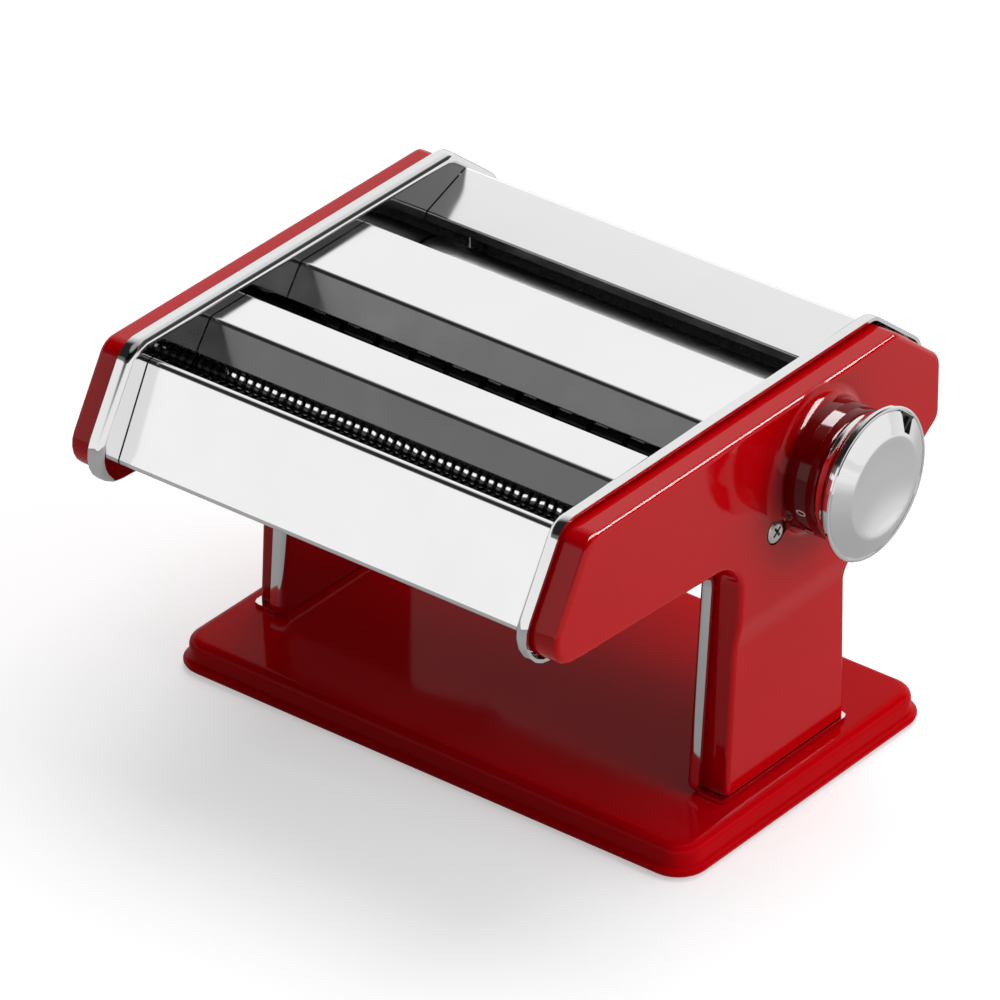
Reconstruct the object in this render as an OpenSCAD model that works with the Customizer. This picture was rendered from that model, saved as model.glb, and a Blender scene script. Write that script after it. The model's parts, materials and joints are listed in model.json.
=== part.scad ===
/* [Size] */
// Width of the rolled sheet
sheet_w = 150; // [120:1:180]
// Inner face of the side plates from the middle
plate_x = 75.3; // [60:0.1:92]
// Height of the head's top edge
head_top = 134; // [120:1:150]
/* [Base] */
// Half the width of the base
base_half_w = 96.5; // [85:0.5:120]
// Half the depth of the base
base_half_d = 60.5; // [50:0.5:80]
// Height of the base's raised top
base_top = 10.6; // [8:0.1:14]
/* [Rollers] */
// Radius of the smooth rollers
smooth_r = 14; // [12:0.1:16]
// Smallest gap between the smooth rollers
gap_min = 0.27; // [0.2:0.01:0.6]
// Travel of the adjustable roller
travel = 2.4; // [1:0.1:3]
// Radius over the cutting ridges
cutter_r = 9.5; // [8:0.1:10]
// Depth of the cutting grooves
groove_d = 1.6; // [1:0.1:3]
// Distance between the axes of a cutter pair
cutter_cd = 18.2; // [16:0.1:19]
// Ridges on a thin cutter
thin_ridges = 49; // [30:1:60]
// Ridges on the rear wide cutter
wide_ridges = 12; // [6:1:16]
/* [Drive] */
// Bore of the crank sockets, radius
socket_r = 4.1; // [3:0.1:5]
// Teeth on a cutter gear
cutter_teeth = 14; // [13:1:18]
// Teeth on a smooth roller gear
smooth_teeth = 12; // [11:1:14]
/* [Knob] */
// Radius of the knob's rim
knob_r = 23.5; // [18:0.5:28]
// Outer end of the knob
knob_x = 113.7; // [105:0.1:120]
// Settings on the dial
settings = 9; // [5:1:10]
/* [Hidden] */
$fn = 96;

// Side outline as y, z, corner radius, seen from the right
SIDE = [[-33.3, base_top + 0.1, 4], [30.6, base_top + 0.1, 4], [29.1, 63.9, 9], [72.3, 93.2, 7],
    [72.3, 116, 9], [49.3, head_top + 0.3, 7], [-96.7, head_top, 9.5], [-121, 93, 11],
    [-27.1, 88.2, 9]];
FOOTLESS = [for (p = SIDE) p[1] < 20 ? [p[0], -20, 4] : p];
ARC = 7;
// Axes as y, z
FIXED = [35, 96.9];
SWING = 156.9;
ADJ = FIXED + (2 * smooth_r + gap_min) * [cos(SWING), sin(SWING)];
WIDE_R = [-22, 111];
WIDE_F = WIDE_R - [cutter_cd, 0];
THIN_R = [-63.3, 111];
THIN_F = THIN_R - [cutter_cd, 0];
BAR = [2, 88];
RODS = [[-97.5, 99.5], [62, 104], [-8, 74]];
POST = [-9.3, 92.9];
COVER_X = 89;
BOSS_X = 98;
REACH = plate_x - 0.7;
PITCH_THIN = sheet_w / thin_ridges;
PITCH_WIDE = 2 * sheet_w / (2 * wide_ridges - 1);
OX = (knob_x - base_half_w) / 2;
OY = (centre(SIDE, 7)[0] - SIDE[7][2] + SIDE[3][0]) / 2;

// Outline helpers
function xy(v) = [v[0], v[1]];
function unit(v) = v / norm(v);
function turn90(v) = [-v[1], v[0]];
function polar(r, a) = [r * cos(a), r * sin(a)];
function d_in(o, i) = unit(xy(o[i]) - xy(o[(i + len(o) - 1) % len(o)]));
function d_out(o, i) = unit(xy(o[(i + 1) % len(o)]) - xy(o[i]));
function bend(o, i) = let (a = d_in(o, i), b = d_out(o, i)) sign(a[0] * b[1] - a[1] * b[0]);
function half_turn(o, i) = acos(min(1, d_in(o, i) * d_out(o, i))) / 2;
function centre(o, i) = xy(o[i]) - d_in(o, i) * o[i][2] * tan(half_turn(o, i))
    + turn90(d_in(o, i)) * o[i][2] * bend(o, i);
function rim_point(o, i, k, d, n = ARC) = let (
    s = bend(o, i),
    a = turn90(d_in(o, i)) * -s,
    t = s * 2 * half_turn(o, i) * k / n,
    v = [a[0] * cos(t) - a[1] * sin(t), a[0] * sin(t) + a[1] * cos(t)])
    centre(o, i) + v * max(0.02, o[i][2] - s * d);
function outline(o, d) = [for (i = [0:len(o) - 1]) for (k = [0:ARC]) rim_point(o, i, k, d)];
function ring_x(o, d, x) = [for (p = outline(o, d)) [x, p[0], p[1]]];
function ring_z(o, d, z) = [for (p = outline(o, d)) [p[0], p[1], z]];
function arc(c, r, a0, a1, n) = [for (k = [0:n]) c + polar(r, a0 + (a1 - a0) * k / n)];
function band(o, d) = concat([xy(o[0]) + turn90(d_out(o, 0)) * d],
    [for (i = [1:len(o) - 2]) for (k = [0:6]) rim_point(o, i, k, d, 6)],
    [xy(o[len(o) - 1]) + turn90(d_in(o, len(o) - 1)) * d]);
function reversed(v) = [for (i = [len(v) - 1:-1:0]) v[i]];

// Closed skin through rings of equal length; caps lists the convex parts of the end faces
module skin(rings, caps = []) {
    n = len(rings[0]);
    m = len(rings);
    ends = len(caps) > 0 ? caps : [[for (i = [0:n - 1]) i]];
    polyhedron(points = [for (r = rings) each r],
        faces = concat(ends,
            [for (j = [0:m - 2]) for (i = [0:n - 1]) each
                [[j * n + i, (j + 1) * n + i, (j + 1) * n + (i + 1) % n],
                 [j * n + i, (j + 1) * n + (i + 1) % n, j * n + (i + 1) % n]]],
            [for (f = ends) [for (i = reversed(f)) (m - 1) * n + i]]));
}
module home() {
    translate([-OX, -OY, 0]) children();
}
// Extrude a y, z drawing from x0 to x1
module along_x(x0, x1) {
    translate([x0, 0, 0]) rotate([90, 0, 90]) linear_extrude(x1 - x0) children();
}
// Cylinder along X at y, z
module rod_x(p, r, x0, x1) {
    translate([x0, p[0], p[1]]) rotate([0, 90, 0]) cylinder(r = r, h = x1 - x0);
}
// Turned part whose profile is given as radius, x
module turned(p, profile) {
    translate([0, p[0], p[1]]) rotate([90, 0, 90]) rotate_extrude() polygon(profile);
}
// Folded sheet, outer surface along the path, thickness t inward
module folded(o, t) {
    along_x(0.3 - plate_x, plate_x - 0.3) polygon(concat(band(o, 0), reversed(band(o, t))));
}

// Stamped base
BASE = let (w = base_half_w, a = -base_half_d, b = base_half_d - 1.6)
    [[-w, a, 10], [w, a, 10], [w, b, 10], [-w, b, 10]];
BASE_PATH = concat(arc([5.1, base_top - 3.3], 2, 90, 180, 4), [[3.1, 4.6], [2.6, 3.8], [2.3, 1],
    [0.9, 1], [0.3, 1.3], [0, 1.9], [0.05, 2.6], [0.45, 3.1], [1.3, 3.5], [1.75, 4], [1.85, 4.7]],
    arc([5.1, base_top - 3.3], 3.2, 180, 90, 6));
FOOT_PADS = [for (x = [-84, 84]) for (y = [-47, 47]) [x, y]];
FOOT_HOLES = [for (x = [-83.4, 83.4]) for (y = [-22, 16]) [x, y]];
module base_plate() {
    color("firebrick") home() difference() {
        skin([for (p = BASE_PATH) ring_z(BASE, p[0], p[1])]);
        for (h = FOOT_HOLES)
            translate([h[0], h[1], 5]) cylinder(r = 2.2, h = 10);
        translate([-12, 50, 4.2]) cube([24, 15, 4.9]);
    }
}
module rubber_feet() {
    color("dimgray") home() for (p = FOOT_PADS)
        translate([p[0], p[1], 0]) {
            cylinder(r = 7, h = 5);
            translate([0, 0, 5]) cylinder(r1 = 6.2, r2 = 5.2, h = base_top - 6.35);
        }
}
// Sleeve under the base that takes the table clamp's tongue
module clamp_bracket() {
    color("gray") home() difference() {
        union() {
            translate([-13.3, 22, 2.8]) cube([26.6, 32.8, base_top - 4.15]);
            translate([-19, 26, base_top - 2.55]) cube([38, 26, 1.2]);
        }
        translate([-12, 20, 4]) cube([24, 40, 20]);
    }
}

// Pressed side plate with its rim turned outward and a wide foot
PLATE_PATH = concat(arc([2.6, 2.6], 2.6, 270, 180, 5), [[0, 4.9], [1.1, 4.9]],
    arc([2.6, 2.6], 1.4, 180, 270, 4));
// Convex parts of the side outline, which has inner corners 2 and 8
function at(i, k = 0) = (ARC + 1) * i + k;
SIDE_CAPS = concat([[for (i = [at(3):at(8)]) i]],
    [for (k = [at(8):at(8, ARC) - 1]) [at(3), k, k + 1]],
    [concat([at(8, ARC)], [for (i = [0:at(2)]) i])],
    [for (k = [at(2):at(3) - 1]) [at(8, ARC), k, k + 1]]);
module plate_cut(p, r) {
    rod_x(p, r, plate_x - 1, plate_x + 3);
}
module side_plate(driven_r) {
    difference() {
        union() {
            skin([for (p = PLATE_PATH) ring_x(SIDE, p[0], plate_x + p[1])], SIDE_CAPS);
            translate([plate_x + 3.9, 0, base_top + 0.1]) linear_extrude(1.1) polygon([[0, -31.5],
                [6.8, -31.5], [8.4, -31], [9.1, -29.4], [9.1, 27], [8.4, 28.5], [6.8, 29], [0, 29]]);
        }
        for (p = [FIXED, WIDE_R, THIN_R])
            plate_cut(p, driven_r);
        for (p = [WIDE_F, THIN_F])
            plate_cut(p, 6.6);
        for (p = RODS)
            plate_cut(p, 2.05);
        plate_cut(POST, 2.05);
        along_x(plate_x - 1, plate_x + 3) translate(ADJ) rotate(SWING)
            translate([-8.1, -8.1]) square([16.2 + travel, 16.2]);
        along_x(plate_x - 1, plate_x + 3) translate(BAR) rotate(SWING)
            translate([-3.3, -3.3]) square([6.6 + travel, 6.6]);
        for (y = [-22, 16])
            translate([83.4, y, base_top - 1]) cylinder(r = 1.8, h = 5);
    }
}
module side_plate_left() {
    color("silver") home() mirror([1, 0, 0]) side_plate(8);
}
module side_plate_right() {
    color("silver") home() side_plate(6.6);
}

// Pressed cover, slightly shallower over the leg, with a short ramp between
COVER_IN = 2.4;
COVER_R = 1.7;
RAMP = [for (k = [0:ARC]) rim_point(FOOTLESS, 2, k, COVER_IN + COVER_R)[1]];
STEP = 1.4;
function ease(t) = let (u = min(1, max(0, t))) u * u * (3 - 2 * u);
function drop(z) = STEP * ease((RAMP[ARC] - z) / (RAMP[ARC] - RAMP[0]));
COVER_BOTTOM = base_top + 1.5;
function at_height(o, i, d, z) = let (a = rim_point(o, i, ARC, d),
    b = rim_point(o, (i + 1) % len(o), 0, d)) a + (b - a) * (z - a[1]) / (b[1] - a[1]);
// Points of the cover's outline, with extra points at the ramp on the front of the leg
function cover_line(d, low) = let (o = FOOTLESS) concat(
    [at_height(o, 1, d, low)],
    [for (i = [2:8]) for (k = [0:ARC]) rim_point(o, i, k, d)],
    [for (k = [ARC:-1:0]) at_height(o, 8, d, RAMP[k])],
    [at_height(o, 8, d, low)]);
function cover_ring(d, x, low) = [for (p = cover_line(d, low))
    [x - (x > COVER_X - 4 ? drop(p[1]) : 0), p[0], p[1]]];
COVER_PATH = let (c = [COVER_IN + COVER_R, COVER_X - COVER_R]) concat(
    [for (p = arc(c, COVER_R - 1.2, 90, 180, 4)) [p[0], p[1], 4]],
    [[COVER_IN + 1.2, plate_x + 3, 4], [COVER_IN, plate_x + 3, 2]],
    [for (p = arc(c, COVER_R, 180, 90, 6)) [p[0], p[1], 2]]);
// Convex parts of the cover's face: leg, ramp, head and the fan under the head
COVER_CAPS = let (f = at(7) + 1, p = at(1) + 1) concat([[0, 1, f + ARC, f + ARC + 1]],
    [for (k = [1:ARC]) [k, k + 1, f + ARC - k, f + ARC - k + 1]],
    [[for (i = [p:at(6) + 1]) i]],
    [for (k = [at(6) + 1:f - 1]) [p, k, k + 1]],
    [[p, f, at(1)]]);
module screw_seat() {
    rod_x(POST, 2.1, 80, 100);
    rod_x(POST, 4.2, COVER_X - 0.7, 100);
}
module side_cover(holes) {
    difference() {
        skin([for (p = COVER_PATH) cover_ring(p[0], p[1], p[2])], COVER_CAPS);
        translate([70, -60, -1]) cube([30, 120, COVER_BOTTOM + 1]);
        screw_seat();
        for (p = holes)
            rod_x(p, 8.2, 80, 100);
    }
}
module side_cover_left() {
    color("firebrick") home() mirror([1, 0, 0]) side_cover([FIXED, WIDE_R, THIN_R]);
}
// Dial boss with its fillet and the collar round the knob, hollow, on a bearing tube
BOSS = concat([[5.05, 84.4], [7.2, 84.4], [7.2, BOSS_X - 2.2], [17, BOSS_X - 2.2],
    [17, COVER_X - 1.1], [24, COVER_X - 1.1]],
    [for (k = [0:8]) [24, COVER_X + 4] + polar(4, 270 - 90 * k / 8)],
    [[20, 102.2], [19.7, 103], [19.2, 103.3], [18.5, 103.3], [18.4, 103.2], [18.4, BOSS_X], [5.05, BOSS_X]]);
module side_cover_right() {
    color("firebrick") home() difference() {
        union() {
            difference() {
                side_cover([]);
                rod_x(ADJ, 18, 80, 100);
            }
            turned(ADJ, BOSS);
        }
        screw_seat();
        turned(ADJ, [[11.5, BOSS_X - 0.6], [14.5, BOSS_X - 0.6], [14.5, BOSS_X + 1], [11.5, BOSS_X + 1]]);
        for (k = [0:settings - 1])
            translate([BOSS_X + 0.3, ADJ[0], ADJ[1]]) rotate([90 - 25 * k, 0, 0])
                translate([0, 13, 0]) sphere(r = 1.6, $fn = 24);
    }
}

// Folded sheet panels
HOPPER = [[35.2, 117.6, 0], [36.2, 120.1, 0.9], [55.3, 127.2, 1.2], [57.6, 122.4, 0]];
REAR_HOOD = [[-28.9, 120.1, 0], [-22.4, 129.1, 2.2], [7.4, 129.4, 1.4],
    [9.2, 126.3, 0]];
FRONT_HOOD = [[-70, 120.4, 0], [-63.4, 129.1, 2.2], [-47, 129.3, 1.4],
    [-45.2, 126.3, 0]];
PANEL = [[-97.3, 93.3, 0], [-105.7, 99.6, 1.6], [-90.2, 129.2, 2], [-86.7, 124.4, 0]];
module hopper_guide() {
    color("silver") home() folded(reversed(HOPPER), 0.9);
}
module rear_hood() {
    color("silver") home() folded(reversed(REAR_HOOD), 0.9);
}
module front_hood() {
    color("silver") home() folded(reversed(FRONT_HOOD), 0.9);
}
module front_panel() {
    color("silver") home() folded(reversed(PANEL), 0.9);
}

// Frame hardware
module tie_rods() {
    color("gray") home() for (p = RODS) {
        rod_x(p, 3, -plate_x, plate_x);
        rod_x(p, 2, -plate_x - 6, plate_x + 6);
    }
}
module tie_rod_nuts() {
    color("gray") home() for (p = RODS) for (s = [0, 1]) mirror([s, 0, 0])
        translate([plate_x + 1.25, p[0], p[1]]) rotate([0, 90, 0]) difference() {
            cylinder(r = 4.04, h = 3.2, $fn = 6);
            translate([0, 0, -1]) cylinder(r = 2.05, h = 6);
        }
}
// Flanged bush: bore r, seat r, flange r
module bush(p, r, seat, flange) {
    turned(p, [[r, plate_x], [seat, plate_x], [seat, plate_x + 1.25], [flange, plate_x + 1.25],
        [flange, plate_x + 2.6], [r, plate_x + 2.6]]);
}
module bushings_left() {
    color("goldenrod") home() mirror([1, 0, 0]) {
        for (p = [FIXED, WIDE_R, THIN_R])
            bush(p, 6.56, 8, 9.4);
        for (p = [WIDE_F, THIN_F])
            bush(p, 5.06, 6.6, 8.2);
    }
}
module bushings_right() {
    color("goldenrod") home() for (p = [FIXED, WIDE_R, THIN_R, WIDE_F, THIN_F])
        bush(p, 5.06, 6.6, 8.2);
}
module cover_posts() {
    color("gray") home() for (s = [0, 1]) mirror([s, 0, 0])
        translate([plate_x + 1.25, POST[0], POST[1]]) rotate([0, 90, 0]) difference() {
            cylinder(r = 4, h = COVER_X - plate_x - 2.6, $fn = 6);
            translate([0, 0, 2]) cylinder(r = 1.9, h = 20);
        }
}
module cover_screws() {
    color("lightgray") home() for (s = [0, 1]) mirror([s, 0, 0]) difference() {
        turned(POST, [[0, 79], [1.85, 79], [1.85, COVER_X - 0.7], [3.65, COVER_X - 0.7],
            [3.65, COVER_X - 0.05], [3.3, COVER_X + 0.2], [2.4, COVER_X + 0.4], [0, COVER_X + 0.5]]);
        for (a = [35, 125])
            translate([COVER_X - 1.2, POST[0], POST[1]]) rotate([a, 0, 0])
                translate([0, -2, -0.45]) cube([4, 4, 0.9]);
    }
}
module foot_screws() {
    color("gray") home() for (h = FOOT_HOLES)
        translate([h[0], h[1], 0]) {
            translate([0, 0, base_top - 3.6]) cylinder(r = 3.4, h = 2.2);
            translate([0, 0, base_top - 1.5]) cylinder(r = 1.75, h = 4.2);
        }
}
module roller_wiper() {
    color("white") home() along_x(-plate_x, plate_x)
        polygon([[48.45, 92], [49.3, 90.6], [58.4, 87.4], [58.9, 88.7]]);
}

// Combs that lift the strips out of the grooves
module comb(p, side, count, pitch, first, finger) {
    y0 = p[0] + side * (cutter_r + 1.8);
    lo = p[1] - cutter_r - 3;
    translate([-plate_x, min(y0, y0 - side * 3), lo]) cube([2 * plate_x, 3, 2]);
    for (i = [0:count - 1])
        translate([first + i * pitch - finger / 2, 0, 0]) rotate([90, 0, 90]) linear_extrude(finger)
            polygon([[y0, lo + 0.2], [y0, lo + 1.8], [p[0] + side * 4, p[1] - cutter_r + groove_d - 0.5],
                [p[0] + side * 2.6, p[1] - cutter_r + groove_d - 0.4], [p[0] + side * 3, lo + 0.9]]);
}
module wide_comb_rear() {
    color("lightgray") home()
        comb(WIDE_R, 1, wide_ridges - 1, PITCH_WIDE, -PITCH_WIDE * (wide_ridges - 2) / 2, 5.6);
}
module wide_comb_front() {
    color("lightgray") home()
        comb(WIDE_F, -1, wide_ridges - 2, PITCH_WIDE, -PITCH_WIDE * (wide_ridges - 3) / 2, 5.6);
}
module thin_comb_rear() {
    color("lightgray") home()
        comb(THIN_R, 1, thin_ridges - 1, PITCH_THIN, -PITCH_THIN * (thin_ridges - 2) / 2, 1.1);
}
module thin_comb_front() {
    color("lightgray") home()
        comb(THIN_F, -1, thin_ridges - 2, PITCH_THIN, -PITCH_THIN * (thin_ridges - 3) / 2, 1.1);
}

// Shafts: a driven left end is hollow for the crank, the right end runs in its bush
module journals(p, driven) {
    difference() {
        union() {
            rod_x(p, driven ? 6.5 : 5, driven ? -COVER_X - 0.8 : -85.4, -REACH + 1);
            rod_x(p, 5, REACH - 1, 80.5);
        }
        if (driven) {
            rod_x(p, socket_r, -COVER_X - 2, -76.8);
            translate([-COVER_X - 2, p[0] - 7, p[1] - 1.25]) cube([4.4, 14, 2.5]);
        }
    }
}
module smooth_roller_fixed() {
    color("lightgray") home() {
        rod_x(FIXED, smooth_r, -REACH, REACH);
        journals(FIXED, true);
    }
}
module smooth_roller_adjustable() {
    color("lightgray") home() {
        rod_x(ADJ, smooth_r, -REACH, REACH);
        rod_x(ADJ, 5, -86.6, -REACH + 1);
        rod_x(ADJ, 5, REACH - 1, 79.6);
    }
}
// Ridged cutter roller: ridge centres at first + i * pitch
module cutter(p, count, pitch, width, ends) {
    first = -pitch * (count - 1) / 2;
    low = cutter_r - groove_d;
    inner = [for (i = [0:count - 1]) let (x = first + i * pitch) each
        [[low, x - width / 2], [cutter_r, x - width / 2], [cutter_r, x + width / 2], [low, x + width / 2]]];
    tips = ends ? concat([[cutter_r, -REACH], [cutter_r, first - pitch + width / 2],
        [low, first - pitch + width / 2]], inner,
        [[low, -first + pitch - width / 2], [cutter_r, -first + pitch - width / 2], [cutter_r, REACH]])
        : concat([[low, -REACH]], inner, [[low, REACH]]);
    turned(p, concat([[0, -REACH]], tips, [[0, REACH]]));
}
module wide_cutter_rear() {
    color("lightgray") home() {
        cutter(WIDE_R, wide_ridges, PITCH_WIDE, PITCH_WIDE / 2 - 0.1, false);
        journals(WIDE_R, true);
    }
}
module wide_cutter_front() {
    color("lightgray") home() {
        cutter(WIDE_F, wide_ridges - 1, PITCH_WIDE, PITCH_WIDE / 2 - 0.1, false);
        journals(WIDE_F, false);
    }
}
module thin_cutter_rear() {
    color("lightgray") home() {
        cutter(THIN_R, thin_ridges, PITCH_THIN, PITCH_THIN / 2 - 0.1, false);
        journals(THIN_R, true);
    }
}
module thin_cutter_front() {
    color("lightgray") home() {
        cutter(THIN_F, thin_ridges - 1, PITCH_THIN, PITCH_THIN / 2 - 0.1, false);
        journals(THIN_F, false);
    }
}

// Involute gears
function inv(a) = tan(a) * 180 / PI - a;
function flank(r, rb, half, pa) = let (a = acos(min(1, rb / max(r, rb)))) polar(r, half + inv(pa) - inv(a));
module gear_body(p, teeth, cd, pa, play, phase, x0, x1, bore) {
    rp = cd / 2;
    m = cd / teeth;
    rb = rp * cos(pa);
    ra = rp + m;
    rf = rp - 1.25 * m;
    half = 90 / teeth - play / rp * 90 / PI;
    up = [for (k = [0:6]) flank(rb + (ra - rb) * k / 6, rb, half, pa)];
    tooth = concat([polar(rf, -half - inv(pa) - 0.6)], [for (q = up) [q[0], -q[1]]], reversed(up),
        [polar(rf, half + inv(pa) + 0.6)]);
    along_x(x0, x1) translate(p) rotate(phase) difference() {
        polygon([for (i = [0:teeth - 1]) for (q = tooth) let (a = i * 360 / teeth)
            [q[0] * cos(a) - q[1] * sin(a), q[0] * sin(a) + q[1] * cos(a)]]);
        circle(r = bore);
    }
}
CD = 2 * smooth_r + gap_min;
module gear_smooth_fixed() {
    color("gray") home()
        gear_body(FIXED, smooth_teeth, CD, 25, 0.16, SWING, -86.6, -80.8, 6.5);
}
module gear_smooth_adjustable() {
    color("gray") home()
        gear_body(ADJ, smooth_teeth, CD, 25, 0.16, SWING + 180 + 180 / smooth_teeth, -86.6, -80.8, 5);
}
module cutter_gear(p, phase, bore) {
    gear_body(p, cutter_teeth, cutter_cd, 20, 0.14, phase, -85, -79.4, bore);
}
module gear_wide_rear() {
    color("gray") home() cutter_gear(WIDE_R, 180, 6.5);
}
module gear_wide_front() {
    color("gray") home() cutter_gear(WIDE_F, 180 / cutter_teeth, 5);
}
module gear_thin_rear() {
    color("gray") home() cutter_gear(THIN_R, 180, 6.5);
}
module gear_thin_front() {
    color("gray") home() cutter_gear(THIN_F, 180 / cutter_teeth, 5);
}

// Sliding bearing blocks of the adjustable roller, joined by a bar
module block_plate(x0, x1, bore) {
    along_x(x0, x1) difference() {
        union() {
            translate(ADJ) rotate(SWING) translate([-11, -11]) square([22, 22]);
            translate(BAR) circle(r = 5.2);
            translate(ADJ) rotate(atan2(BAR[1] - ADJ[1], BAR[0] - ADJ[0]))
                translate([0, -4.6]) square([norm(BAR - ADJ), 9.2]);
        }
        translate(ADJ) circle(r = bore);
        translate(BAR) circle(r = 2.5);
    }
}
module block_tongue() {
    along_x(plate_x + 0.1, plate_x + 1.6) difference() {
        translate(ADJ) rotate(SWING) translate([-8, -8]) square([16, 16]);
        translate(ADJ) circle(r = 5.06);
    }
}
module bearing_block_left() {
    color("goldenrod") home() mirror([1, 0, 0]) {
        block_plate(plate_x + 1.55, plate_x + 4.6, 5.06);
        block_tongue();
    }
}
// The right block carries a window around the cam
CAM_R = 8.4;
module bearing_block_right() {
    color("goldenrod") home() {
        block_plate(plate_x + 1.55, plate_x + 4.6, 5.06);
        block_tongue();
        along_x(plate_x + 4.6, plate_x + 8.4) translate(ADJ) rotate(SWING) difference() {
            translate([-11, -11]) square([20.4, 22]);
            translate([-CAM_R - 0.1, -9.4]) square([CAM_R + 6.7, 18.8]);
        }
    }
}
module carriage_bar() {
    color("gray") home() {
        rod_x(BAR, 3, -plate_x - 1.5, plate_x + 1.5);
        rod_x(BAR, 2.5, -plate_x - 5.6, plate_x + 5.6);
    }
}
module carriage_wiper() {
    color("white") home() along_x(-REACH, REACH)
        polygon([[1, 91.03], [3, 91.03], [3, 94.3], [1.9, 95.5]]);
}

// Snail cam on the knob's shaft: radius falls evenly over the whole setting range
SPAN = 25 * (settings - 1);
function cam_r(a) = a <= SPAN ? CAM_R - travel * a / SPAN : CAM_R - travel + travel * (a - SPAN) / (360 - SPAN);
module adjuster_camshaft() {
    color("gray") home() {
        along_x(plate_x + 5.1, plate_x + 8.3) translate(ADJ) rotate(SWING + 180)
            polygon([for (a = [0:5:355]) polar(cam_r(a), a)]);
        turned(ADJ, [[0, plate_x + 7], [4.9, plate_x + 7], [4.9, 99.2], [0, 99.2]]);
        translate([99, ADJ[0] - 3.4, ADJ[1] - 3.4]) cube([8.2, 6.8, 6.8]);
    }
}
module knob_screw() {
    color("gray") home() difference() {
        turned(ADJ, [[0, 107.3], [6.6, 107.3], [6.6, 108.1], [5.2, 109.2], [0, 109.6]]);
        for (a = [0, 90])
            translate([108.4, ADJ[0], ADJ[1]]) rotate([a, 0, 0]) translate([0, -2.4, -0.5]) cube([3, 4.8, 1]);
    }
}
module knob_washer() {
    color("lightgray") home() turned(ADJ, [[4.95, 106.3], [8.4, 106.3], [8.4, 107.15], [4.95, 107.15]]);
}
// Conical spring that draws the knob onto the dial
SPRING_N = 54;
function spring_ring(k) = let (t = 20 * k, r = 12.4 - 6 * k / SPRING_N, x = 102.2 + 3.5 * k / SPRING_N)
    [for (j = [0:5]) let (c = r + 0.5 * cos(60 * j)) [x + 0.5 * sin(60 * j), c * cos(t), c * sin(t)]];
module knob_spring() {
    color("lightgray") home() translate([0, ADJ[0], ADJ[1]]) skin([for (k = [0:SPRING_N]) spring_ring(k)]);
}

// Knob: flared skirt, chromed cap with a dished centre, pointer and index pin
module knob_body() {
    color("silver") home() difference() {
        turned(ADJ, concat([[3.6, 99.4], [17.5, 99.4], [18, 99.9], [18, 103.6], [19.6, 103.6]],
            [for (k = [0:7]) [19.7 + 3 * pow(k / 7, 2), 103.9 + 4.7 * k / 7]],
            [[22.7, 109], [20.6, 109], [16.4, 102.6], [16.4, 101.6], [3.6, 101.6]]));
        translate([99, ADJ[0] - 3.5, ADJ[1] - 3.5]) cube([4, 7, 7]);
        rod_x(ADJ + [0, 13], 1.6, 99, 102);
    }
}
NOTCH_A = 50.4;
CAP_OUT = knob_x - 113.2;
module knob_cap() {
    color("silver") home() translate([CAP_OUT, 0, 0]) difference() {
        turned(ADJ, [[0, 110], [15.4, 110], [17.2, 108.6], [17.5, 106.9], [18.4, 106.9], [18.9, 108.6], [knob_r - 0.4, 108.6],
            [knob_r, 109], [knob_r, 109.9], [knob_r - 0.3, 110.25], [22.7, 110.3], [22.6, 109.95],
            [22.3, 109.95], [22.1, 110.3], [16.1, 113.05], [15.7, 113.2], [0, 113.2]]);
        translate([166.1, ADJ[0], ADJ[1]]) sphere(r = 55);
        along_x(110.2, 114.2) translate(ADJ) rotate(NOTCH_A)
            polygon([[16.7, -1.5], [22.2, -3.7], [22.2, 3.7], [16.7, 1.5]]);
    }
}
module knob_pointer() {
    color("black") home() translate([CAP_OUT, 0, 0]) {
        along_x(110.25, 110.7) translate(ADJ) rotate(NOTCH_A)
            polygon([[16.8, -1.4], [22.1, -3.6], [22.1, 3.6], [16.8, 1.4]]);
        along_x(110.6, 111.6) translate(ADJ) rotate(NOTCH_A)
            polygon([[16.9, -0.35], [21.4, -0.35], [21.4, 0.35], [16.9, 0.35]]);
    }
}
module knob_index_pin() {
    color("lightgray") home() {
        rod_x(ADJ + [0, 13], 1.55, 98.9, 102);
        translate([98.9, ADJ[0], ADJ[1] + 13]) sphere(r = 1.2, $fn = 24);
    }
}

base_plate();
rubber_feet();
clamp_bracket();
side_plate_left();
side_plate_right();
side_cover_left();
side_cover_right();
hopper_guide();
rear_hood();
front_hood();
front_panel();
tie_rods();
tie_rod_nuts();
bushings_left();
bushings_right();
cover_posts();
cover_screws();
foot_screws();
roller_wiper();
wide_comb_rear();
wide_comb_front();
thin_comb_rear();
thin_comb_front();
smooth_roller_fixed();
gear_smooth_fixed();
bearing_block_left();
bearing_block_right();
carriage_bar();
carriage_wiper();
smooth_roller_adjustable();
gear_smooth_adjustable();
adjuster_camshaft();
knob_screw();
knob_washer();
knob_spring();
knob_body();
knob_cap();
knob_pointer();
knob_index_pin();
wide_cutter_rear();
gear_wide_rear();
wide_cutter_front();
gear_wide_front();
thin_cutter_rear();
gear_thin_rear();
thin_cutter_front();
gear_thin_front();
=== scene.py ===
import json
import math

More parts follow.
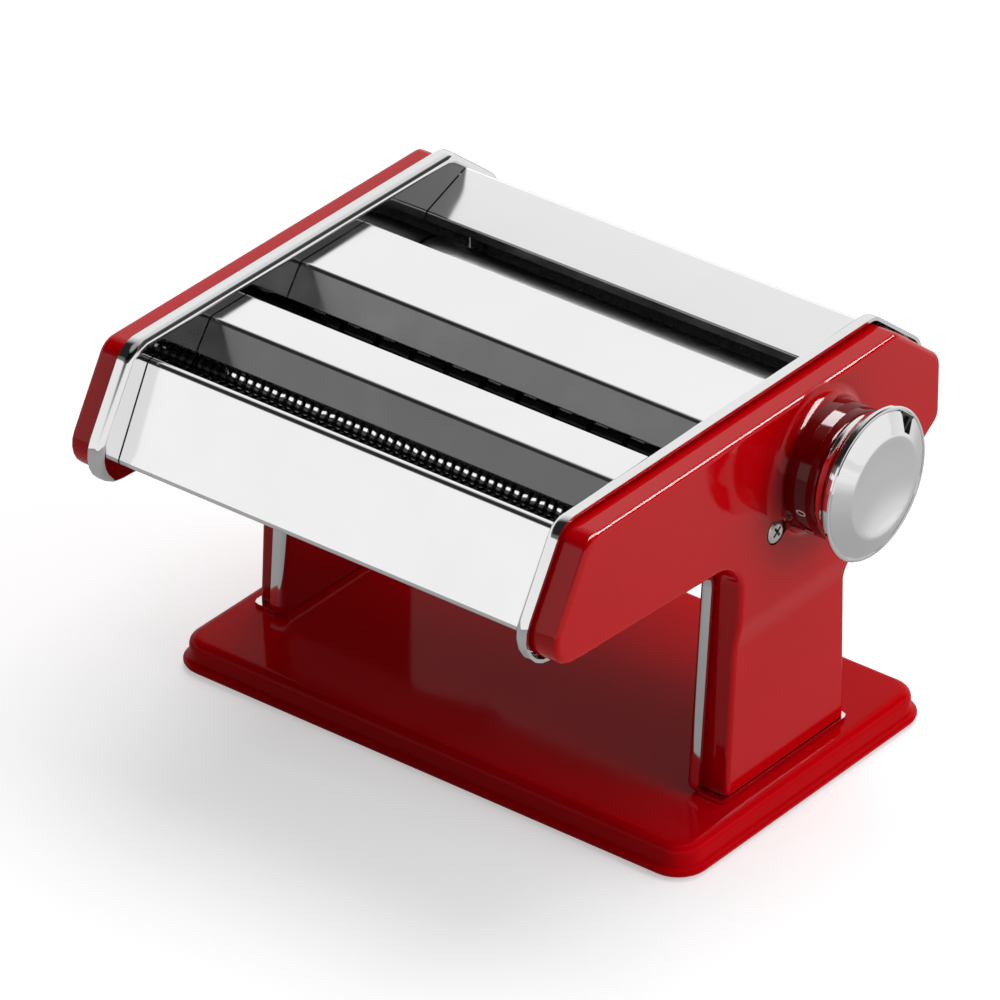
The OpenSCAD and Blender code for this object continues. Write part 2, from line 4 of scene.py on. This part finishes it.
import bpy
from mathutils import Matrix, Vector


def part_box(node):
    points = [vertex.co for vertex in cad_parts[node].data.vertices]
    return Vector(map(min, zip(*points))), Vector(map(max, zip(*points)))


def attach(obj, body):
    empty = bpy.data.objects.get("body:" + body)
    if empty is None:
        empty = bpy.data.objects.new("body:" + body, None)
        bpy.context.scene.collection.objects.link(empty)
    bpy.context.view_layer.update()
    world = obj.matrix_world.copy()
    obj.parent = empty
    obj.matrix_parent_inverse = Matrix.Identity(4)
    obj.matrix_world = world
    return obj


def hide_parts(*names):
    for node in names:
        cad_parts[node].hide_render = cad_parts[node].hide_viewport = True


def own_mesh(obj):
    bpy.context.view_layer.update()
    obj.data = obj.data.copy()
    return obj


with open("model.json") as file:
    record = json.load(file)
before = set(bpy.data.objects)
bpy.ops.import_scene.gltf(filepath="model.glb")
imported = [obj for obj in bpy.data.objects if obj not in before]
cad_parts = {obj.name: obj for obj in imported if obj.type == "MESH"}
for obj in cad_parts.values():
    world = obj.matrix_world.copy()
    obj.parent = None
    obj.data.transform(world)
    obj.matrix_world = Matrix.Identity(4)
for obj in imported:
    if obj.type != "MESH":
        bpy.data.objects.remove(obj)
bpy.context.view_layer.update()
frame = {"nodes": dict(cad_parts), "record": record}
nodes = frame["nodes"]
scene = bpy.context.scene
slot_of = {part["node"]: part["material_slot"] for part in frame["record"]["subparts"]}


# ---------------------------------------------------------------- node trees
# Where a mix node keeps its factor, its two colours and their mix
COLOUR_MIX_INPUTS = (0, 6, 7)
COLOUR_MIX_RESULT = 2


def rgba(colour):
    """A colour from red, green and blue, or from one grey."""
    return (*colour, 1) if isinstance(colour, tuple) else (colour, colour, colour, 1)


class Tree:
    """Short calls for the node tree of a material or of the world."""

    def __init__(self, owner):
        owner.use_nodes = True
        self.owner = owner
        self.nodes = owner.node_tree.nodes
        self.links = owner.node_tree.links

    def feed(self, socket, value):
        """Link another socket to this one, or give it a plain value."""
        if isinstance(value, bpy.types.NodeSocket):
            self.links.new(value, socket)
        else:
            socket.default_value = value

    def node(self, kind, inputs=None, **properties):
        """A new node with its properties, and its inputs by name or place."""
        made = self.nodes.new(kind)
        for key, value in properties.items():
            setattr(made, key, value)
        for key, value in (inputs or {}).items():
            self.feed(made.inputs[key], value)
        return made

    def math(self, operation, *values):
        return self.node("ShaderNodeMath", dict(enumerate(values)), operation=operation).outputs[0]

    def axes(self, vector):
        return self.node("ShaderNodeSeparateXYZ", {0: vector}).outputs

    def ramp(self, factor, stops, interpolation="LINEAR"):
        """Colours or greys along factor, from (place, colour) stops."""
        made = self.node("ShaderNodeValToRGB", {"Fac": factor})
        made.color_ramp.interpolation = interpolation
        elements = made.color_ramp.elements
        while len(elements) < len(stops):
            elements.new(0.5)
        for element, (place, colour) in zip(elements, stops):
            element.position = place
            element.color = rgba(colour)
        return made.outputs["Color"]

    def mix(self, factor, a, b, blend_type="MIX"):
        """Colour a, which b takes over or acts on as factor goes from 0 to 1."""
        inputs = dict(zip(COLOUR_MIX_INPUTS, (factor, a, b)))
        made = self.node("ShaderNodeMix", inputs, data_type="RGBA", blend_type=blend_type)
        return made.outputs[COLOUR_MIX_RESULT]

    def mix_shaders(self, factor, a, b):
        return self.node("ShaderNodeMixShader", {0: factor, 1: a, 2: b}).outputs[0]

    def light_path(self):
        """Whether a ray comes from the camera, and whether it is a reflection or a refraction."""
        rays = self.node("ShaderNodeLightPath").outputs
        return rays["Is Camera Ray"], self.math("MAXIMUM", rays["Is Glossy Ray"], rays["Is Transmission Ray"])


class Surface(Tree):
    """A Principled material whose patterns lie in the object's own coordinates."""

    NOISE_ROUGHNESS = 0.55

    def __init__(self, name, **values):
        super().__init__(bpy.data.materials.new(name))
        self.shader = self.nodes["Principled BSDF"]
        self.place = self.node("ShaderNodeTexCoord").outputs["Object"]
        for key, value in values.items():
            self.shader.inputs[key].default_value = value

    def noise(self, size, detail, stretch=(1, 1, 1)):
        """Noise with features of this size in metres, drawn out along an axis where stretch is small."""
        place = self.node("ShaderNodeMapping", {"Vector": self.place, "Scale": stretch}).outputs["Vector"]
        return self.node("ShaderNodeTexNoise", {"Vector": place, "Scale": 1.0 / size, "Detail": detail,
                                                "Roughness": self.NOISE_ROUGHNESS}).outputs["Fac"]

    def fade(self, value, start, end, first, last):
        """first up to start, last from end on, and even between them."""
        return self.node("ShaderNodeMapRange", {"Value": value, "From Min": start, "From Max": end,
                                                "To Min": first, "To Max": last}).outputs["Result"]

    def colour(self, source):
        self.feed(self.shader.inputs["Base Color"], source)

    def roughness(self, pattern, stops):
        self.feed(self.shader.inputs["Roughness"], self.ramp(pattern, stops))

    def bump(self, height, strength, distance):
        """Relief, on top of the relief given before."""
        normal = self.shader.inputs["Normal"]
        made = self.node("ShaderNodeBump", {"Height": height, "Strength": strength, "Distance": distance})
        if normal.is_linked:
            self.feed(made.inputs["Normal"], normal.links[0].from_socket)
        self.feed(normal, made.outputs["Normal"])


# ---------------------------------------------------------------- finishes
# How far the painted shade in recesses looks for nearby surfaces, in metres
PAINTED_NOOK_SHADE_REACH = 0.03
# Where the painted shade on the dial boss deepens and where its edge rolls in as a bump, along x
BOSS_SHADE_SPAN = (0.0802, 0.0845)
BOSS_EDGE = (0.0878, 0.0916)
# Share of the red that is left under the painted shade on the dial boss
PAINTED_BOSS_SHADE = 0.28
BOSS_RELIEF = 0.0018


def shaded(colour, share):
    return tuple(share * part for part in colour)


def red_enamel(name, ior, boss=False):
    """Glossy red paint with painted shade in recesses, where nearby surfaces hem it in, and, if boss is true,
    with painted shade on the dial boss and its edge rolled in as a bump.
    """
    paint = Surface(name, IOR=ior)
    tint_and_painted_shade = paint.ramp(paint.noise(0.06, 2), [(0.3, (0.50, 0.0, 0.002)), (0.7, (0.55, 0.0, 0.004))])
    # Painted shade: the red falls to 30 % where nearby surfaces hem it in, in recesses and corners
    nook = paint.node("ShaderNodeAmbientOcclusion", {"Distance": PAINTED_NOOK_SHADE_REACH}, samples=8, only_local=True)
    painted_nook_shade = paint.ramp(nook.outputs["AO"], [(0.40, 0.3), (0.80, 1.0)])
    tint_and_painted_shade = paint.mix(1.0, tint_and_painted_shade, painted_nook_shade, "MULTIPLY")
    if boss:
        # Painted shade: outward along x the dial boss darkens to 28 % of the red
        x = paint.axes(paint.place)[0]
        tint_and_painted_shade = paint.mix(1.0, tint_and_painted_shade, paint.fade(x, *BOSS_SHADE_SPAN, 1.0, PAINTED_BOSS_SHADE), "MULTIPLY")
    paint.colour(tint_and_painted_shade)
    paint.roughness(paint.noise(0.02, 4), [(0.35, 0.06), (0.75, 0.11)])
    paint.bump(paint.noise(0.0035, 2), 0.05, 0.0003)
    if boss:
        paint.bump(paint.fade(x, *BOSS_EDGE, 1.0, 0.0), 1.0, BOSS_RELIEF)
    return paint.owner


def chrome(name, tone, smoothest, roughest):
    """Chromed sheet with a faint cloudiness."""
    sheet = Surface(name, Metallic=1.0)
    cloud = (tone + 0.03, tone + 0.03, tone + 0.035)
    sheet.colour(sheet.ramp(sheet.noise(0.05, 3), [(0.3, tone), (0.7, cloud)]))
    sheet.roughness(sheet.noise(0.012, 5), [(0.35, smoothest), (0.8, roughest)])
    sheet.bump(sheet.noise(0.03, 2), 0.03, 0.0005)
    return sheet.owner


def turned_steel(name, tone, smoothest, roughest, lines):
    """Steel with fine tool lines round its axis, which runs along x."""
    steel = Surface(name, Metallic=1.0)
    steel.colour(steel.ramp(steel.noise(0.0006, 3, (1, 0.02, 0.02)), [(0.3, 0.9 * tone), (0.7, tone)]))
    steel.roughness(steel.noise(0.003, 4), [(0.3, smoothest), (0.75, roughest)])
    steel.bump(steel.noise(0.00035, 3, (1, 0.03, 0.03)), lines, 0.0001)
    return steel.owner


def plain_metal(name, base, smoothest, roughest, grain):
    """Bare or plated metal with a fine grain."""
    metal = Surface(name, Metallic=1.0)
    metal.colour(metal.ramp(metal.noise(0.004, 4), [(0.3, shaded(base, 0.86)), (0.7, base)]))
    metal.roughness(metal.noise(0.002, 4), [(0.3, smoothest), (0.75, roughest)])
    metal.bump(metal.noise(grain, 4), 0.12, 0.0001)
    return metal.owner


def moulded(name, base, smoothest, roughest, grain, depth):
    """Plastic, rubber or dull paint with a fine grain."""
    skin = Surface(name)
    skin.colour(skin.ramp(skin.noise(0.01, 3), [(0.3, shaded(base, 0.88)), (0.7, base)]))
    skin.roughness(skin.noise(0.004, 3), [(0.3, smoothest), (0.75, roughest)])
    skin.bump(skin.noise(grain, 3), 0.3, depth)
    return skin.owner


def printed_ink(name):
    """Pale ink with a slightly uneven cover."""
    ink = Surface(name, Roughness=0.5)
    ink.colour(ink.ramp(ink.noise(0.0009, 3), [(0.3, (0.62, 0.60, 0.58)), (0.7, (0.78, 0.77, 0.75))]))
    return ink.owner


# After its tone or colour, each metal and moulding has its lowest and highest roughness
MATERIALS = {
    # Every red enamel carries painted shade in recesses; the dial boss enamel also carries painted shade on
    # the boss
    "red_enamel": red_enamel("red_enamel", 1.34),
    "boss_painted_shade_enamel": red_enamel("boss_painted_shade_enamel", 1.34, boss=True),
    "base_enamel": red_enamel("base_enamel", 1.13),
    "chrome_sheet": chrome("chrome_sheet", 0.80, 0.05, 0.10),
    "satin_sheet": chrome("satin_sheet", 0.90, 0.13, 0.19),
    "roller_steel": turned_steel("roller_steel", 0.42, 0.06, 0.12, 0.05),
    "ground_steel": turned_steel("ground_steel", 0.5, 0.40, 0.46, 0.05),
    "cutter_steel": turned_steel("cutter_steel", 0.42, 0.05, 0.08, 0.02),
    # Painted shade: the wide cutters' steel is darkened to a tone of 0.10, against 0.42 for the other turned
    # steel, to stand in for the shade in their slot
    "painted_shade_cutter_steel": turned_steel("painted_shade_cutter_steel", 0.10, 0.06, 0.12, 0.04),
    "gear_steel": plain_metal("gear_steel", (0.5, 0.5, 0.51), 0.25, 0.4, 0.0008),
    "zinc_hardware": plain_metal("zinc_hardware", (0.72, 0.71, 0.67), 0.2, 0.33, 0.0006),
    "bronze_bush": plain_metal("bronze_bush", (0.66, 0.45, 0.2), 0.25, 0.4, 0.0006),
    "nylon_white": moulded("nylon_white", (0.83, 0.82, 0.78), 0.35, 0.5, 0.0006, 0.00005),
    "rubber_black": moulded("rubber_black", (0.03, 0.03, 0.03), 0.6, 0.8, 0.0005, 0.0001),
    "black_paint": moulded("black_paint", (0.01, 0.01, 0.01), 0.2, 0.35, 0.0004, 0.00003),
    "dial_ink": printed_ink("dial_ink"),
}

# Nodes whose finish differs from the plain one of their slot
FINISH = {
    "rear_hood": "satin_sheet",
    "front_hood": "satin_sheet",
    "front_panel": "satin_sheet",
    "hopper_guide": "satin_sheet",
    "base_plate": "base_enamel",
    "side_cover_right": "boss_painted_shade_enamel",
    "smooth_roller_fixed": "ground_steel",
    "thin_cutter_rear": "cutter_steel",
    "thin_cutter_front": "cutter_steel",
    # The wide cutters' darker steel is painted shade
    "wide_cutter_rear": "painted_shade_cutter_steel",
    "wide_cutter_front": "painted_shade_cutter_steel",
}

# ---------------------------------------------------------------- CAD nodes
WELD_GAP = 2e-6
CREASE = math.radians(24)


def smooth_facets(node):
    """Shade smoothly across the small facets, with crisp edges kept."""
    node.data.polygons.foreach_set("use_smooth", [True] * len(node.data.polygons))
    weld = node.modifiers.new("weld", "WELD")
    weld.merge_threshold = WELD_GAP
    edges = node.modifiers.new("edges", "EDGE_SPLIT")
    edges.split_angle = CREASE
    edges.use_edge_sharp = False
    shading = node.modifiers.new("shading", "WEIGHTED_NORMAL")
    shading.keep_sharp = True


for name, node in nodes.items():
    node.data.materials.clear()
    node.data.materials.append(MATERIALS[FINISH.get(name, slot_of[name])])
    smooth_facets(node)

# ---------------------------------------------------------------- camera
EYE = Vector((1.41960, -1.80212, 1.46670))
AIM = Vector((-0.00880, -0.00312, 0.07660))


def aimed(place, target):
    """The turn that points a camera or a lamp from place to target."""
    return (target - place).to_track_quat("-Z", "Y").to_euler()


def add_camera():
    data = bpy.data.cameras.new("camera")
    data.lens = 333.0
    data.sensor_width = 36.0
    data.clip_start = 0.05
    data.clip_end = 50.0
    camera = bpy.data.objects.new("camera", data)
    camera.location = EYE
    camera.rotation_euler = aimed(EYE, AIM)
    scene.collection.objects.link(camera)
    scene.camera = camera


add_camera()

# ---------------------------------------------------------------- studio
BACKDROP = (0.985, 0.985, 0.99, 1)
BLACK = rgba(0.0)
WALL = rgba(0.05)
AMBIENT = 0.9


def room_in_gloss(tree, x, y, z):
    """White low down and at the back, dark above the front, with a dark wall at the back right."""

    def greys(factor, *stops):
        return tree.ramp(factor, stops, "EASE")

    side = greys(tree.math("MULTIPLY_ADD", x, 0.5, 0.5), (0.0, 0.17), (0.30, 0.15), (0.55, 0.03), (1.0, 0.05))
    low = greys(z, (0.0, 1.0), (0.50, 1.0), (0.60, 0.12), (0.9, 0.12), (1.0, 0.5))
    dark = tree.mix(low, BLACK, side)
    above = greys(z, (0.0, 0.0), (0.37, 0.0), (0.43, 1.0), (0.85, 1.0), (0.95, 0.5), (1.0, 0.4))
    front = greys(tree.math("MULTIPLY_ADD", y, -1.0, 0.5), (0.0, 0.0), (0.12, 0.15), (0.45, 1.0))
    white = greys(z, (0.0, 0.97), (0.55, 0.95), (0.85, 0.72), (1.0, 0.6))
    room = tree.mix(tree.math("MULTIPLY", above, front), white, dark)
    right = greys(x, (0.0, 0.0), (0.15, 0.0), (0.42, 1.0), (1.0, 1.0))
    back = greys(y, (0.0, 0.0), (0.04, 0.0), (0.25, 1.0), (1.0, 1.0))
    raised = greys(z, (0.0, 0.0), (0.16, 0.0), (0.28, 1.0), (0.72, 1.0), (0.9, 0.0))
    wall = tree.math("MULTIPLY", tree.math("MULTIPLY", right, back), raised)
    return tree.mix(wall, room, WALL)


def soft_light(tree, x, y, z):
    """Little light from the front, more from overhead, behind and the right."""
    across = tree.math("ADD", tree.math("MULTIPLY", x, 0.22), tree.math("MULTIPLY", y, 0.3))
    level = tree.math("ADD", across, tree.math("MULTIPLY_ADD", z, 0.2, 0.5))
    return tree.ramp(level, [(0.0, 0.03), (0.4, 0.05), (0.6, 0.25), (0.8, 0.8), (1.0, 0.9)], "EASE")


def add_world():
    world = bpy.data.worlds.new("studio")
    scene.world = world
    tree = Tree(world)
    tree.nodes.clear()
    direction = tree.axes(tree.node("ShaderNodeTexCoord").outputs["Generated"])
    from_camera, in_gloss = tree.light_path()
    light = tree.node("ShaderNodeBackground", {"Color": soft_light(tree, *direction), "Strength": AMBIENT})
    backdrop = tree.node("ShaderNodeBackground", {"Color": BACKDROP})
    room = tree.node("ShaderNodeBackground", {"Color": room_in_gloss(tree, *direction)})
    plain = tree.mix_shaders(from_camera, light.outputs[0], backdrop.outputs[0])
    tree.node("ShaderNodeOutputWorld", {0: tree.mix_shaders(in_gloss, plain, room.outputs[0])})


def add_light(name, place, target, size, watts, shows_on=None):
    """A soft box. With shows_on, it makes only a highlight, and on that node alone."""
    data = bpy.data.lights.new(name, "AREA")
    data.shape = "RECTANGLE"
    data.size, data.size_y = size
    data.energy = watts
    light = bpy.data.objects.new(name, data)
    light.location = place
    light.rotation_euler = aimed(Vector(place), Vector(target))
    scene.collection.objects.link(light)
    light.visible_glossy = shows_on is not None
    if shows_on:
        light.visible_diffuse = False
        only = bpy.data.collections.new(name)
        only.objects.link(nodes[shows_on])
        light.light_linking.receiver_collection = only


scene.view_settings.view_transform = "Standard"
add_world()
add_light("top_light", (-0.1, 0.5, 1.6), (0, 0, 0.05), (1.4, 1.1), 13)
add_light("side_light", (1.5, 0.2, 0.7), (0, 0, 0.08), (0.9, 0.7), 7)
add_light("boss_spark", (0.33, 0.45, 1.52), (0.09, 0.03, 0.1), (0.6, 2.1), 110, "side_cover_right")
add_light("guide_light", (-0.60, 0.20, 1.05), (0, 0.06, 0.12), (1.1, 0.9), 1.8, "hopper_guide")
add_light("roller_light", (-0.6, 0.1, 1.45), (0, 0.055, 0.11), (0.9, 0.9), 18, "smooth_roller_fixed")
add_light("cutter_light", (-0.85, -0.84, 1.07), (-0.01, -0.04, 0.12), (0.7, 0.2), 1.0, "thin_cutter_rear")

# ---------------------------------------------------------------- floor
FLOOR_REACH = 6.0
FLOOR_PAINT = (0.86, 0.86, 0.87, 1)
FLOOR_PAINT_SEEN = (1.42, 1.42, 1.43, 1)
FLOOR_GLOW = 0.46
MIRRORED_SHARE = 0.8
BACK_RIGHT = (0.62, 0.78)
# Tone of the floor in gloss, from its front left to its back right: painted shade, dark up to the machine and
# brightening beyond it to the back right
PAINTED_FLOOR_SHADE_TONES = [(0.0, 0.30), (0.35, 0.30), (0.5, 0.30), (0.62, 0.35), (0.76, 0.5), (0.92, 0.8), (1.0, 0.95)]


def add_mesh(name, verts, faces, *materials):
    """A mesh object in the scene with these materials."""
    mesh = bpy.data.meshes.new(name)
    mesh.from_pydata(verts, [], faces)
    for material in materials:
        mesh.materials.append(material)
    made = bpy.data.objects.new(name, mesh)
    scene.collection.objects.link(made)
    return made


def floor_paint():
    """Pale paint, whiter to the camera; gloss sees mostly a glow of painted shade, dark at the front left and
    near the machine and brighter far to the back right.
    """
    tree = Tree(bpy.data.materials.new("floor"))
    tree.nodes.clear()
    from_camera, in_gloss = tree.light_path()
    colour = tree.mix(from_camera, FLOOR_PAINT, FLOOR_PAINT_SEEN)
    paint = tree.node("ShaderNodeBsdfDiffuse", {"Color": colour})
    glow = tree.node("ShaderNodeEmission", {"Color": BACKDROP})
    x, y, _ = tree.axes(tree.node("ShaderNodeTexCoord").outputs["Object"])
    along = tree.math("ADD", tree.math("MULTIPLY", x, BACK_RIGHT[0]), tree.math("MULTIPLY", y, BACK_RIGHT[1]))
    tone = tree.ramp(tree.math("ADD", along, 0.5), PAINTED_FLOOR_SHADE_TONES, "EASE")
    # Painted shade on the floor, as a glow that only reflections see
    painted_floor_shade = tree.node("ShaderNodeEmission", {"Color": tone})
    seen = tree.mix_shaders(tree.math("MULTIPLY", from_camera, FLOOR_GLOW), paint.outputs[0], glow.outputs[0])
    shown = tree.mix_shaders(tree.math("MULTIPLY", in_gloss, MIRRORED_SHARE), seen, painted_floor_shade.outputs[0])
    tree.node("ShaderNodeOutputMaterial", {0: shown})
    return tree.owner


corners = [(x * FLOOR_REACH, y * FLOOR_REACH, 0) for x, y in ((-1, -1), (1, -1), (1, 1), (-1, 1))]
floor = add_mesh("floor", corners, [(0, 1, 2, 3)], floor_paint())

# ---------------------------------------------------------------- dial numbers
DIGITS = "012345678"
DIGIT_HEIGHT = 0.0047
INK_DEPTH = 0.00003
LAST_DIGIT_ANGLE = 50.4
DIGIT_STEP = 27
BOSS_RADIUS = 0.02
INK_RADIUS = 0.01998
DIGIT_X = 0.0900


def digit_outline(text):
    """The points and faces of one flat digit, centred."""
    curve = bpy.data.curves.new("digit", "FONT")
    curve.body = text
    curve.size = DIGIT_HEIGHT
    curve.align_x = "CENTER"
    curve.align_y = "CENTER"
    curve.extrude = INK_DEPTH
    curve.resolution_u = 6
    made = bpy.data.objects.new("digit", curve)
    scene.collection.objects.link(made)
    bpy.context.view_layer.update()
    mesh = bpy.data.meshes.new_from_object(made.evaluated_get(bpy.context.evaluated_depsgraph_get()))
    bpy.data.objects.remove(made)
    bpy.data.curves.remove(curve)
    return [v.co.copy() for v in mesh.vertices], [tuple(p.vertices) for p in mesh.polygons]


def add_dial_numbers(axis_y, axis_z):
    """The digits, laid round the boss with even steps up to the last one."""
    verts, faces = [], []
    for place, text in enumerate(DIGITS):
        points, polygons = digit_outline(text)
        middle = math.radians(LAST_DIGIT_ANGLE - DIGIT_STEP * (len(DIGITS) - 1 - place))
        first = len(verts)
        for point in points:
            radius = INK_RADIUS + point.z
            angle = middle - point.x / BOSS_RADIUS
            across, up = radius * math.cos(angle), radius * math.sin(angle)
            verts.append((DIGIT_X - point.y, axis_y + across, axis_z + up))
        faces += [tuple(first + i for i in polygon) for polygon in polygons]
    return add_mesh("dial_numbers", verts, faces, MATERIALS["dial_ink"])


joints = frame["record"]["behaviour"]["joints"]
axis = next(joint for joint in joints if joint["name"] == "adjuster_turn")["pos_m"]
numbers = add_dial_numbers(axis[1], axis[2])
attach(numbers, "frame")

# ---------------------------------------------------------------- rear strip
STRIP_THICKNESS = 0.0008
# y and z of the outer face, from the hopper guide down to the turned-in lip
STRIP_FACE = [(0.0760, 0.1229), (0.0774, 0.1213), (0.0778, 0.1190), (0.0776, 0.0990), (0.0770, 0.0968),
              (0.0756, 0.0952), (0.0736, 0.0947)]
# Material places for the strip's faces: satin outside, and black paint inside that stands for shade
OUTSIDE, INSIDE = 0, 1


def inner_face(outer):
    """The line one thickness inside outer."""
    inner = []
    for i, (y, z) in enumerate(outer):
        before = Vector(outer[max(i - 1, 0)])
        after = Vector(outer[min(i + 1, len(outer) - 1)])
        along = (after - before).normalized()
        inner.append((y + along.y * STRIP_THICKNESS, z - along.x * STRIP_THICKNESS))
    return inner


def add_rear_strip(x_left, x_right):
    """A folded strip that closes the back under the hopper guide, satin outside, with black paint inside as
    painted shade.
    """
    count = len(STRIP_FACE)
    outline = STRIP_FACE + inner_face(STRIP_FACE)
    verts = [(x, y, z) for x in (x_left, x_right) for y, z in outline]
    right = len(outline)
    faces, skins = [], []

    def add_face(skin, *corners):
        faces.append(corners)
        skins.append(skin)

    for i in range(count - 1):
        add_face(OUTSIDE, i, i + 1, right + i + 1, right + i)
        add_face(INSIDE, count + i, right + count + i, right + count + i + 1, count + i + 1)
        for end in (0, right):
            add_face(OUTSIDE, end + i, end + count + i, end + count + i + 1, end + i + 1)
    for i in (0, count - 1):
        add_face(OUTSIDE, i, right + i, right + count + i, count + i)
    made = add_mesh("rear_strip", verts, faces, MATERIALS["satin_sheet"], MATERIALS["black_paint"])
    made.data.polygons.foreach_set("material_index", skins)
    made.data.update()
    made.modifiers.new("shading", "WEIGHTED_NORMAL")
    return made


guide_low, guide_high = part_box("hopper_guide")
strip = add_rear_strip(guide_low.x, guide_high.x)
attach(strip, "frame")


# ---------------------------------------------------------------- knob spring
def add_spring_copy(node):
    """A copy of the spring, as a mesh of its own. A copy of the spring that may change
    its length, as a CAD node may not.
    """
    mesh = node.data.copy()
    mesh.transform(node.matrix_world)
    made = bpy.data.objects.new("squeezed_spring", mesh)
    scene.collection.objects.link(made)
    return made


# A copy of the spring, carried with the adjuster in place of the hidden spring node
coil = add_spring_copy(nodes["knob_spring"])
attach(coil, "adjuster")
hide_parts("knob_spring")
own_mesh(coil)
